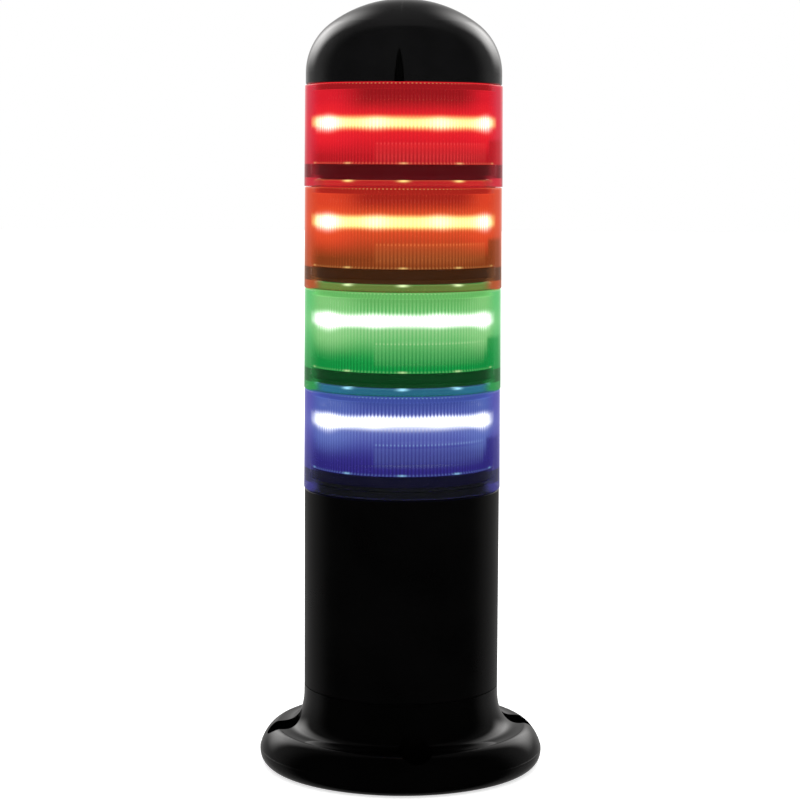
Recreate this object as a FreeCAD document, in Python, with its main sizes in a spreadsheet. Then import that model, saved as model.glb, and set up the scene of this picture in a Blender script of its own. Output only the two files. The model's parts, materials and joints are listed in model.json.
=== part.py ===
import FreeCAD, Part
import os
import math
import Sketcher
from FreeCAD import Vector, Rotation, Placement

# Four-tier modular stack light on a round foot, 70 mm class.
# Frame: origin at the centre of the foot's underside, +Z up the column.
# The foot's four screw pockets lie on -Y, +X, +Y and -X.
# All lengths are millimetres, all angles degrees.

doc = FreeCAD.newDocument("StackLight")

# --------------------------------------------------------------- dimensions
SIZES = [
    # foot
    ("foot_radius", 50.8, "largest radius of the foot"),
    ("foot_height", 28.6, "top of the foot, where the tube starts"),
    ("foot_sole_radius", 46.9, "radius of the sole at the floor"),
    ("foot_rim_height", 4.9, "height of the foot's widest line"),
    ("foot_shoulder_radius", 44.4, "radius where the flare turns into the shoulder"),
    ("foot_shoulder_height", 13.7, "height of that line"),
    ("flare_power", 2.8, "superellipse power of the hollow flare"),
    ("shoulder_power", 1.57, "superellipse power of the round shoulder"),
    ("foot_bore_radius", 29.4, "cable way through the foot"),
    ("spigot_radius", 31.9, "spigot that enters the tube"),
    ("spigot_top", 41.0, "top of the spigot"),
    ("bolt_circle_radius", 42.0, "screw circle"),
    ("bolt_hole_radius", 2.25, "clearance hole for an M4 screw"),
    ("pocket_radius", 6.3, "counterbored screw pocket"),
    ("pocket_floor", 5.0, "height of the pocket floor"),
    ("post_radius", 8.6, "screw post outside"),
    ("gasket_inner", 31.5, "gasket groove"),
    ("gasket_outer", 34.5, "gasket groove"),
    ("gasket_depth", 1.2, "gasket groove"),
    # tube
    ("tube_radius", 34.85, "outside of the tube"),
    ("tube_bore", 32.0, "inside of the tube"),
    ("tube_mouth", 33.0, "counterbore at the tube's mouth"),
    ("column_height", 100.0, "seam between the tube and the first module"),
    ("ledge_drop", 6.5, "adapter ledge below that seam"),
    ("boss_radius", 4.3, "inner screw boss"),
    ("boss_circle", 28.4, "circle of the inner screw bosses"),
    ("boss_length", 13.5, "length of the bosses"),
    ("pilot_radius", 1.25, "pilot hole in a boss"),
    # module
    ("module_pitch", 35.7, "height of one module, seam to seam"),
    ("seam_gap", 0.15, "half of the gap at each seam"),
    ("lens_radius_low", 35.1, "lens outside at its lower edge"),
    ("lens_radius_high", 34.85, "lens outside at its upper edge"),
    ("lens_inner", 32.7, "lens inside"),
    ("skirt_inner", 33.3, "inside of the lens skirt"),
    ("skirt_height", 4.2, "step that rests on the disc's flange"),
    ("shelf_thickness", 2.0, "annular shelf at the top of a lens"),
    ("collar_inner", 31.2, "bayonet collar inside"),
    ("collar_outer", 32.6, "bayonet collar outside"),
    ("collar_top", 2.65, "collar top above its seam"),
    ("lip_inner", 29.7, "inward lip of the collar"),
    ("lip_bottom", 1.25, "underside of that lip above the seam"),
    ("slot_half", 3.65, "half width of an entry slot"),
    ("lug_half", 3.0, "half width of a plug lug"),
    ("lug_reach", 30.6, "outer face of a plug lug"),
    ("lug_low", -1.35, "lug underside above the seam"),
    ("lug_high", 0.95, "lug top above the seam"),
    ("lock_turn", 28.0, "turn from locked to released"),
    ("stop_turn", 8.5, "stop beside a lug"),
    ("plug_inner", 27.6, "plug ring inside"),
    ("plug_outer", 29.3, "plug ring outside"),
    ("plug_bottom", -1.9, "plug ring lower end above the seam"),
    ("flange_low", 3.3, "flange underside above the seam"),
    ("flange_radius", 33.2, "flange outside"),
    ("disc_radius", 32.5, "module disc outside"),
    ("disc_top", 8.0, "module disc top above the seam"),
    ("disc_under", 5.5, "module disc underside above the seam"),
    ("disc_hole", 6.0, "central hole of the disc"),
    ("seal_inner", 31.4, "seal groove"),
    ("seal_outer", 32.4, "seal groove"),
    ("seal_top", 3.9, "seal groove roof"),
    ("seal_low", 2.95, "seal lower face"),
    # lamp inside a module
    ("tower_half_x", 26.0, "half width of the lamp tower"),
    ("tower_half_y", 8.5, "half depth of the lamp tower"),
    ("tower_wall", 1.8, "wall of the lamp tower"),
    ("tower_foot", 24.0, "radius of the tower's foot plate"),
    ("tower_top", 31.7, "top of the tower above the seam"),
    ("board_thickness", 1.0, "lamp board"),
    ("board_low", 16.0, "lamp board lower edge"),
    ("board_high", 29.0, "lamp board upper edge"),
    ("led_depth", 1.0, "LED package"),
    ("led_width", 3.4, "LED package"),
    ("led_height", 3.0, "LED package"),
    ("lamp_height", 22.4, "centre line of the LEDs above the seam"),
    ("sleeve_half_x", 31.0, "half width of the frosted sleeve"),
    ("sleeve_half_y", 14.0, "half depth of the frosted sleeve"),
    ("sleeve_wall", 1.0, "wall of the frosted sleeve"),
    ("sleeve_corner", 9.0, "outer corner radius of the frosted sleeve"),
    ("sleeve_low", 9.6, "sleeve foot above the seam"),
    ("sleeve_high", 30.2, "sleeve top above the seam"),
    # contacts
    ("plate_radius", 25.5, "contact plates"),
    ("plate_drop", 4.0, "underside of a contact plate below the next seam"),
    ("plate_thickness", 1.3, "contact plate"),
    ("ring_height", 0.3, "brass track"),
    ("ring_width", 1.8, "brass track"),
    ("ring_first", 9.0, "mean radius of the first track"),
    ("ring_step", 4.2, "step from track to track"),
    ("pin_radius", 0.9, "contact pin"),
    ("pin_gap", 0.1, "gap between a pin and its track"),
    ("block_low", 2.0, "pin holder lower face above the seam"),
    # cap
    ("cap_radius", 34.62, "cap wall outside"),
    ("cap_height", 30.2, "cap height above its seam"),
    ("cap_crown", 43.0, "crown radius of the dome"),
    ("cap_corner", 21.8, "corner radius of the dome"),
    ("cap_wall", 2.2, "dome wall"),
    ("cap_skirt_inner", 33.05, "inside of the cap skirt"),
    ("flute_radius", 2.3, "cutter of the alignment flute"),
    ("flute_reach", 33.85, "smallest distance of the flute from the axis"),
    ("flute_turn", -9.7, "bearing of the flute from -Y"),
    ("cap_disc_top", 6.5, "cap ring top above its seam"),
    ("cap_disc_radius", 32.2, "cap ring outside"),
    ("cap_disc_hole", 16.0, "cap ring central hole"),
    ("cap_boss_circle", 23.6, "circle of the cap's screw bosses"),
    ("cap_boss_radius", 3.4, "cap boss"),
    ("cap_boss_top", 18.8, "cap boss upper end"),
]

sheet = doc.addObject("Spreadsheet::Sheet", "Params")
sheet.Label = "Params"


class Q:
    """A size: its number, and the same size as an expression on the sheet."""

    def __init__(self, text, value):
        self.text = text
        self.value = float(value)

    def __add__(self, other):
        other = size(other)
        return Q("(" + self.text + " + " + other.text + ")", self.value + other.value)

    def __sub__(self, other):
        other = size(other)
        return Q("(" + self.text + " - " + other.text + ")", self.value - other.value)

    def __mul__(self, other):
        other = size(other)
        return Q("(" + self.text + " * " + other.text + ")", self.value * other.value)

    def __truediv__(self, other):
        other = size(other)
        return Q("(" + self.text + " / " + other.text + ")", self.value / other.value)

    def __neg__(self):
        return Q("(0 - " + self.text + ")", -self.value)

    def root(self):
        return Q("sqrt(" + self.text + ")", math.sqrt(self.value))


def size(x):
    if isinstance(x, Q):
        return x
    return Q("(0 - %.6f)" % -x if x < 0 else "%.6f" % x, x)


class Sizes:
    pass


P = Sizes()
for row, (alias, number, note) in enumerate(SIZES, start=1):
    sheet.set("A%d" % row, note)
    sheet.set("B%d" % row, "%.4f" % number)
    sheet.setAlias("B%d" % row, alias)
    setattr(P, alias, Q("Params." + alias, number))
doc.recompute()

SUBPARTS = []


def bind(obj, prop, q):
    q = size(q)
    obj.setExpression(prop, q.text)


def keep(obj, label, z=None, turn=None):
    """Names a sub-part, and puts its frame at height z, turned about the axis."""
    obj.Label = label
    place = Placement()
    if turn is not None:
        place.Rotation = Rotation(Vector(0, 0, 1), size(turn).value)
    if z is not None:
        place.Base = Vector(0, 0, size(z).value)
    obj.Placement = place
    if turn is not None:
        bind(obj, "Placement.Rotation.Angle", turn)
    if z is not None:
        bind(obj, "Placement.Base.z", z)
    SUBPARTS.append(obj)
    return obj


# ------------------------------------------------------- PartDesign helpers
def new_body(name):
    return doc.addObject("PartDesign::Body", name)


def origin_plane(body, role):
    for feature in body.Origin.OriginFeatures:
        if feature.Role == role:
            return feature
    raise RuntimeError("no plane " + role)


def new_sketch(body, name, role, height=None):
    sketch = body.newObject("Sketcher::SketchObject", name)
    sketch.AttachmentSupport = [(origin_plane(body, role), "")]
    sketch.MapMode = "FlatFace"
    if height is not None:
        sketch.AttachmentOffset = Placement(Vector(0, 0, size(height).value), Rotation())
        bind(sketch, "AttachmentOffset.Base.z", height)
    return sketch


def pin_point(sketch, geo, pos, x, y):
    """Ties one point of the sketch to sizes on the sheet."""
    x, y = size(x), size(y)
    if abs(x.value) < 1e-9:
        sketch.addConstraint(Sketcher.Constraint("PointOnObject", geo, pos, -2))
    else:
        i = sketch.addConstraint(Sketcher.Constraint("DistanceX", -1, 1, geo, pos, x.value))
        bind(sketch, "Constraints[%d]" % i, x)
    if abs(y.value) < 1e-9:
        sketch.addConstraint(Sketcher.Constraint("PointOnObject", geo, pos, -1))
    else:
        i = sketch.addConstraint(Sketcher.Constraint("DistanceY", -1, 1, geo, pos, y.value))
        bind(sketch, "Constraints[%d]" % i, y)


def polygon(sketch, points):
    """A closed run of straight lines, every corner tied to the sheet."""
    pts = [(size(a), size(b)) for a, b in points]
    n = len(pts)
    first = sketch.GeometryCount
    for i in range(n):
        a, b = pts[i], pts[(i + 1) % n]
        sketch.addGeometry(Part.LineSegment(Vector(a[0].value, a[1].value, 0),
                                            Vector(b[0].value, b[1].value, 0)), False)
    for i in range(n):
        sketch.addConstraint(Sketcher.Constraint("Coincident", first + i, 2,
                                                 first + (i + 1) % n, 1))
    for i in range(n):
        pin_point(sketch, first + i, 1, *pts[i])


def circle(sketch, x, y, r):
    x, y, r = size(x), size(y), size(r)
    g = sketch.addGeometry(Part.Circle(Vector(x.value, y.value, 0), Vector(0, 0, 1), r.value), False)
    if abs(x.value) < 1e-9 and abs(y.value) < 1e-9:
        sketch.addConstraint(Sketcher.Constraint("Coincident", g, 3, -1, 1))
    else:
        pin_point(sketch, g, 3, x, y)
    i = sketch.addConstraint(Sketcher.Constraint("Radius", g, r.value))
    bind(sketch, "Constraints[%d]" % i, r)


def turned(body, name, points):
    """A ring turned about the column axis from a section of (radius, height)."""
    sketch = new_sketch(body, name + "_section", "XZ_Plane")
    polygon(sketch, points)
    rev = body.newObject("PartDesign::Revolution", name)
    rev.Profile = sketch
    rev.ReferenceAxis = (sketch, ["V_Axis"])
    rev.Angle = 360.0
    return rev


def volume_now(body):
    doc.recompute()
    return body.Shape.Volume


def boxes_on(body, name, low, high, half, y_far, y_near, bearings, cut=False):
    """Straight-sided lugs or slots at each bearing (degrees from -Y towards
    +X), three round the axis for every bearing."""
    made = []
    for k, bearing in enumerate(bearings):
        before = volume_now(body)
        b = size(bearing)
        sketch = new_sketch(body, "%s_outline_%d" % (name, k + 1), "XY_Plane", low)
        sketch.AttachmentOffset = Placement(Vector(0, 0, size(low).value),
                                            Rotation(Vector(0, 0, 1), b.value))
        polygon(sketch, [(-half, -y_far), (half, -y_far), (half, -y_near), (-half, -y_near)])
        kind = "PartDesign::Pocket" if cut else "PartDesign::Pad"
        feat = body.newObject(kind, "%s_%d" % (name, k + 1))
        feat.Profile = sketch
        depth = size(high) - size(low)
        feat.Length = depth.value
        bind(feat, "Length", depth)
        if cut:
            feat.Reversed = True
        one = volume_now(body)
        if (cut and not one < before - 1e-6) or (not cut and not one > before + 1e-6):
            raise RuntimeError(name + " changes nothing")
        pattern = body.newObject("PartDesign::PolarPattern", "%s_round_%d" % (name, k + 1))
        pattern.Originals = [feat]
        for f in body.Origin.OriginFeatures:
            if f.Role == "Z_Axis":
                pattern.Axis = (f, [""])
        pattern.Angle = 360.0
        pattern.Occurrences = 3
        body.Tip = pattern
        three = volume_now(body)
        if abs((three - before) - 3 * (one - before)) > 0.05 * abs(one - before) + 1e-6:
            raise RuntimeError(name + " pattern is incomplete")
        made.append(pattern)
    return made


# ------------------------------------------------------------ Part helpers
def part_cylinder(name, r, z0, z1, x=0.0, y=0.0):
    obj = doc.addObject("Part::Cylinder", name)
    r, z0, z1, x, y = size(r), size(z0), size(z1), size(x), size(y)
    bind(obj, "Radius", r)
    bind(obj, "Height", z1 - z0)
    obj.Placement = Placement(Vector(x.value, y.value, z0.value), Rotation())
    bind(obj, "Placement.Base.x", x)
    bind(obj, "Placement.Base.y", y)
    bind(obj, "Placement.Base.z", z0)
    return obj


def part_box(name, x0, x1, y0, y1, z0, z1):
    obj = doc.addObject("Part::Box", name)
    x0, x1, y0, y1, z0, z1 = [size(v) for v in (x0, x1, y0, y1, z0, z1)]
    bind(obj, "Length", x1 - x0)
    bind(obj, "Width", y1 - y0)
    bind(obj, "Height", z1 - z0)
    obj.Placement = Placement(Vector(x0.value, y0.value, z0.value), Rotation())
    bind(obj, "Placement.Base.x", x0)
    bind(obj, "Placement.Base.y", y0)
    bind(obj, "Placement.Base.z", z0)
    return obj


def part_cut(name, base, tool):
    obj = doc.addObject("Part::Cut", name)
    obj.Base = base
    obj.Tool = tool
    return obj


def part_fuse(name, shapes):
    obj = doc.addObject("Part::MultiFuse", name)
    obj.Shapes = shapes
    return obj


def part_group(name, shapes):
    obj = doc.addObject("Part::Compound", name)
    obj.Links = shapes
    return obj


def polar(radius, bearing):
    """Point at a bearing from -Y towards +X, as sizes."""
    s, c = math.sin(math.radians(bearing)), math.cos(math.radians(bearing))
    return size(radius) * s, size(radius) * (-c)


# ---------------------------------------------------------------- the foot
# The flare and the shoulder are superellipses, which no sketch curve makes,
# so the two turned blanks are built from their own equations.
def foot_profile(count=28):
    r0, z0 = P.tube_radius.value, P.foot_height.value
    r1, z1 = P.foot_shoulder_radius.value, P.foot_shoulder_height.value
    r2, z2 = P.foot_radius.value, P.foot_rim_height.value
    e1, e2 = P.flare_power.value, P.shoulder_power.value
    flare, shoulder = [], []
    for k in range(count + 1):
        a = math.pi / 2 * k / count
        flare.append(Vector(r1 - (r1 - r0) * max(0.0, math.cos(a)) ** (2 / e1), 0,
                            z0 - (z0 - z1) * max(0.0, math.sin(a)) ** (2 / e1)))
        shoulder.append(Vector(r1 + (r2 - r1) * max(0.0, math.sin(a)) ** (2 / e2), 0,
                               z2 + (z1 - z2) * max(0.0, math.cos(a)) ** (2 / e2)))
    return flare, shoulder


def thin(points, least):
    kept = [points[0]]
    for p in points[1:-1]:
        if p.distanceToPoint(kept[-1]) >= least and p.distanceToPoint(points[-1]) >= least:
            kept.append(p)
    kept.append(points[-1])
    return kept


def foot_solid():
    flare, shoulder = foot_profile()
    flare = thin(flare, 0.7)
    shoulder = thin(shoulder, 0.6)
    top = P.foot_height.value
    down, out = Vector(0, 0, -1), Vector(1, 0, 0)
    a = Part.BSplineCurve()
    a.interpolate(Points=flare, InitialTangent=down, FinalTangent=out)
    b = Part.BSplineCurve()
    b.interpolate(Points=shoulder, InitialTangent=out, FinalTangent=down)
    rim = P.foot_radius.value
    sole = P.foot_sole_radius.value
    rise = P.foot_rim_height.value
    ell = Part.Ellipse(Vector(sole, 0, rise), rise, rim - sole) if rise > rim - sole else \
        Part.Ellipse(Vector(sole, 0, rise), rim - sole, rise)
    # lower quarter of the rim, sampled on its ellipse
    low = []
    for k in range(9):
        t = math.pi / 2 * k / 8
        low.append(Vector(sole + (rim - sole) * math.cos(t), 0, rise - rise * math.sin(t)))
    c = Part.BSplineCurve()
    c.interpolate(Points=low, InitialTangent=down, FinalTangent=Vector(-1, 0, 0))
    edges = [
        Part.LineSegment(Vector(0, 0, 0), Vector(0, 0, top)).toShape(),
        Part.LineSegment(Vector(0, 0, top), flare[0]).toShape(),
        a.toShape(), b.toShape(), c.toShape(),
        Part.LineSegment(low[-1], Vector(0, 0, 0)).toShape(),
    ]
    face = Part.Face(Part.Wire(Part.__sortEdges__(edges)))
    solid = face.revolve(Vector(0, 0, 0), Vector(0, 0, 1), 360)
    if solid.ShapeType != "Solid":
        solid = solid.Solids[0]
    return solid


def foot_hollow():
    s = P.foot_sole_radius.value
    # a narrow lightening channel under the rim, between the screw posts
    rim = P.foot_radius.value - 3.3
    pts = [(40.2, -1.0), (40.2, 8.2), (41.8, 10.1), (44.0, 9.8), (rim, 6.4),
           (rim, 3.9), (s - 3.0, 0.0), (s - 3.0, -1.0)]
    wire = Part.makePolygon([Vector(r, 0, z) for r, z in pts + [pts[0]]])
    solid = Part.Face(wire).revolve(Vector(0, 0, 0), Vector(0, 0, 1), 360)
    if solid.ShapeType != "Solid":
        solid = solid.Solids[0]
    return solid


blank = doc.addObject("Part::Feature", "foot_blank")
blank.Shape = foot_solid()
hollow = doc.addObject("Part::Feature", "foot_hollow")
hollow.Shape = foot_hollow()
bearings4 = (0.0, 90.0, 180.0, 270.0)
posts = [part_cylinder("foot_post_%d" % (i + 1), P.post_radius, 0.0, P.foot_height,
                       *polar(P.bolt_circle_radius, b)) for i, b in enumerate(bearings4)]
shell = part_cut("foot_shell", blank, hollow)
posts_in = doc.addObject("Part::MultiCommon", "foot_posts_trimmed")
posts_in.Shapes = [blank, part_fuse("foot_posts", posts)]
spigot = part_cylinder("foot_spigot", P.spigot_radius, P.foot_height - 4.0, P.spigot_top)
whole = part_fuse("foot_whole", [shell, posts_in, spigot])
cutters = [part_cylinder("foot_bore", P.foot_bore_radius, -1.0, P.spigot_top + 1.0)]
for i, b in enumerate(bearings4):
    x, y = polar(P.bolt_circle_radius, b)
    cutters.append(part_cylinder("foot_pocket_%d" % (i + 1), P.pocket_radius, P.pocket_floor,
                                 P.foot_height + 2.0, x, y))
    cutters.append(part_cylinder("foot_hole_%d" % (i + 1), P.bolt_hole_radius, -1.0,
                                 P.pocket_floor + 1.0, x, y))
groove_out = part_cylinder("gasket_groove_outer", P.gasket_outer, -1.0, P.gasket_depth)
groove_in = part_cylinder("gasket_groove_inner", P.gasket_inner, -2.0, P.gasket_depth + 1.0)
cutters.append(part_cut("gasket_groove", groove_out, groove_in))
foot = part_cut("mounting_base_shape", whole, part_fuse("foot_cutters", cutters))
keep(foot, "mounting_base")

gasket = new_body("gasket_body")
turned(gasket, "gasket_ring", [(P.gasket_inner + 0.05, 0.0), (P.gasket_outer - 0.05, 0.0),
                               (P.gasket_outer - 0.05, P.gasket_depth),
                               (P.gasket_inner + 0.05, P.gasket_depth)])
keep(gasket, "base_gasket")

# ---------------------------------------------------------------- the tube
ledge = P.column_height - P.ledge_drop
tube = new_body("tube_body")
turned(tube, "tube_wall", [
    (P.tube_bore, P.foot_height),
    (P.tube_radius - 0.3, P.foot_height),
    (P.tube_radius, P.foot_height + 0.3),
    (P.tube_radius, P.column_height - P.seam_gap - 0.3),
    (P.tube_radius - 0.3, P.column_height - P.seam_gap),
    (P.tube_mouth, P.column_height - P.seam_gap),
    (P.tube_mouth, ledge),
    (P.tube_bore, ledge),
])
boss_sketch = new_sketch(tube, "boss_outline", "XY_Plane", ledge - P.boss_length)
bx, by = polar(P.boss_circle, 60.0)
circle(boss_sketch, bx, by, P.boss_radius)
boss = tube.newObject("PartDesign::Pad", "boss")
boss.Profile = boss_sketch
boss.Length = P.boss_length.value
bind(boss, "Length", P.boss_length)
before = volume_now(tube)
boss_round = tube.newObject("PartDesign::PolarPattern", "boss_round")
boss_round.Originals = [boss]
for f in tube.Origin.OriginFeatures:
    if f.Role == "Z_Axis":
        boss_round.Axis = (f, [""])
boss_round.Angle = 360.0
boss_round.Occurrences = 3
tube.Tip = boss_round
if not volume_now(tube) > before:
    raise RuntimeError("tube bosses are incomplete")
pilot_sketch = new_sketch(tube, "pilot_outline", "XY_Plane", ledge)
circle(pilot_sketch, bx, by, P.pilot_radius)
pilot = tube.newObject("PartDesign::Pocket", "pilot")
pilot.Profile = pilot_sketch
pilot.Length = 10.0
before = tube.Shape.Volume
if not volume_now(tube) < before - 1:
    pilot.Reversed = True
    if not volume_now(tube) < before - 1:
        raise RuntimeError("pilot hole cuts nothing")
pilot_round = tube.newObject("PartDesign::PolarPattern", "pilot_round")
pilot_round.Originals = [pilot]
for f in tube.Origin.OriginFeatures:
    if f.Role == "Z_Axis":
        pilot_round.Axis = (f, [""])
pilot_round.Angle = 360.0
pilot_round.Occurrences = 3
tube.Tip = pilot_round
volume_now(tube)
keep(tube, "column_tube")

# ------------------------------------------------------ adapter with collar
# Heights here are measured from the seam above the tube.
adapter = new_body("adapter_body")
turned(adapter, "adapter_ring", [
    (20.0, -P.ledge_drop),
    (P.tube_mouth - 0.1, -P.ledge_drop),
    (P.tube_mouth - 0.1, -P.plate_drop),
    (P.collar_outer, -P.plate_drop),
    (P.collar_outer, P.collar_top - 0.3),
    (P.collar_outer - 0.3, P.collar_top),
    (P.lip_inner, P.collar_top),
    (P.lip_inner, P.lip_bottom),
    (P.collar_inner, P.lip_bottom),
    (P.collar_inner, -P.plate_drop),
    (20.0, -P.plate_drop),
])
boxes_on(adapter, "entry_slot", P.lip_bottom, P.collar_top, P.slot_half,
         P.collar_inner - 0.05, P.lip_inner - 1.0, [0.0], cut=True)
boxes_on(adapter, "stop", P.lug_low, P.lip_bottom, size(1.0), P.collar_inner + 0.4,
         P.lip_inner + 0.2, [-(P.lock_turn.value + P.stop_turn.value), P.stop_turn.value])
hole_sketch = new_sketch(adapter, "screw_hole_outline", "XY_Plane", -P.plate_drop)
hx, hy = polar(P.boss_circle, 60.0)
circle(hole_sketch, hx, hy, 1.6)
hole = adapter.newObject("PartDesign::Pocket", "screw_hole")
hole.Profile = hole_sketch
hole.Length = 4.0
before = adapter.Shape.Volume
if not volume_now(adapter) < before - 1:
    hole.Reversed = True
    if not volume_now(adapter) < before - 1:
        raise RuntimeError("adapter holes cut nothing")
hole_round = adapter.newObject("PartDesign::PolarPattern", "screw_hole_round")
hole_round.Originals = [hole]
for f in adapter.Origin.OriginFeatures:
    if f.Role == "Z_Axis":
        hole_round.Axis = (f, [""])
hole_round.Angle = 360.0
hole_round.Occurrences = 3
adapter.Tip = hole_round
volume_now(adapter)
keep(adapter, "head_adapter", P.column_height)


def pan_screws(name, label, z, circle_radius, bearings, head_up, seat, shank, head_r=2.4,
               head_h=1.8, shank_r=1.2):
    """Pan-head screws with a cross-shaped drive, seat at height seat."""
    pieces = []
    for i, b in enumerate(bearings):
        x, y = polar(circle_radius, b)
        if head_up:
            head = part_cylinder("%s_head_%d" % (name, i + 1), head_r, seat, size(seat) + head_h, x, y)
            body = part_cylinder("%s_shank_%d" % (name, i + 1), shank_r, size(seat) - shank,
                                 size(seat) + 0.2, x, y)
            d0, d1 = size(seat) + (head_h - 0.9), size(seat) + (head_h + 0.5)
        else:
            head = part_cylinder("%s_head_%d" % (name, i + 1), head_r, size(seat) - head_h, seat, x, y)
            body = part_cylinder("%s_shank_%d" % (name, i + 1), shank_r, size(seat) - 0.2,
                                 size(seat) + shank, x, y)
            d0, d1 = size(seat) - (head_h + 0.5), size(seat) - (head_h - 0.9)
        drive = part_fuse("%s_drive_%d" % (name, i + 1), [
            part_box("%s_bar_a_%d" % (name, i + 1), x - 1.4, x + 1.4, y - 0.35, y + 0.35, d0, d1),
            part_box("%s_bar_b_%d" % (name, i + 1), x - 0.35, x + 0.35, y - 1.4, y + 1.4, d0, d1)])
        pieces.append(part_cut("%s_%d" % (name, i + 1),
                               part_fuse("%s_blank_%d" % (name, i + 1), [head, body]), drive))
    keep(part_group(name, pieces), label, z)


pan_screws("adapter_screw", "adapter_screws", P.column_height, P.boss_circle,
           (60.0, 180.0, 300.0), True, -P.plate_drop, 11.0)

# ------------------------------------------------- wiring block in the tube
block = new_body("terminal_body")
tb = new_sketch(block, "terminal_outline", "XY_Plane", -P.plate_drop - 14.0)
polygon(tb, [(-16.0, -7.5), (16.0, -7.5), (16.0, 7.5), (-16.0, 7.5)])
tpad = block.newObject("PartDesign::Pad", "terminal_pad")
tpad.Profile = tb
tpad.Length = 14.0
volume_now(block)
wire_sketch = new_sketch(block, "wire_entry_outline", "XY_Plane", -P.plate_drop - 14.0)
for k in range(6):
    circle(wire_sketch, -13.0 + 5.2 * k, 3.4, 1.5)
entry = block.newObject("PartDesign::Pocket", "wire_entry")
entry.Profile = wire_sketch
entry.Length = 8.0
before = block.Shape.Volume
if not volume_now(block) < before - 10:
    entry.Reversed = True
    if not volume_now(block) < before - 10:
        raise RuntimeError("wire entries cut nothing")
keep(block, "terminal_block", P.column_height)

screws = []
for k in range(6):
    x = -13.0 + 5.2 * k
    head = part_cylinder("terminal_head_%d" % (k + 1), 1.7, -P.plate_drop - 14.9,
                         -P.plate_drop - 14.0, x, -3.4)
    slot = part_box("terminal_slot_%d" % (k + 1), x - 2.0, x + 2.0, -3.65, -3.15,
                    -P.plate_drop - 15.2, -P.plate_drop - 14.5)
    screws.append(part_cut("terminal_screw_%d" % (k + 1), head, slot))
keep(part_group("terminal_screw_set", screws), "terminal_screws", P.column_height)


# ------------------------------------------------------- shared small parts
def contact_disc(prefix, label, seam):
    b = new_body(prefix + "_plate_body")
    turned(b, "plate", [(4.0, -P.plate_drop), (P.plate_radius, -P.plate_drop),
                        (P.plate_radius, -P.plate_drop + P.plate_thickness),
                        (4.0, -P.plate_drop + P.plate_thickness)])
    keep(b, label, seam)


def contact_tracks(prefix, label, seam):
    tracks = []
    low = -P.plate_drop + P.plate_thickness
    for k in range(4):
        mean = P.ring_first + P.ring_step * k
        outer = part_cylinder("%s_track_outer_%d" % (prefix, k + 1), mean + P.ring_width / 2,
                              low, low + P.ring_height)
        inner = part_cylinder("%s_track_inner_%d" % (prefix, k + 1), mean - P.ring_width / 2,
                              low - 1.0, low + P.ring_height + 1.0)
        tracks.append(part_cut("%s_track_%d" % (prefix, k + 1), outer, inner))
    keep(part_group(prefix + "_tracks", tracks), label, seam)


contact_disc("column", "contact_board", P.column_height)
contact_tracks("column", "contact_rings", P.column_height)


def seal_ring(prefix, label, seam):
    b = new_body(prefix + "_seal_body")
    turned(b, "seal_section", [(P.seal_inner + 0.05, P.seal_low), (P.seal_outer - 0.05, P.seal_low),
                               (P.seal_outer - 0.05, P.seal_top), (P.seal_inner + 0.05, P.seal_top)])
    keep(b, label, seam)


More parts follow.
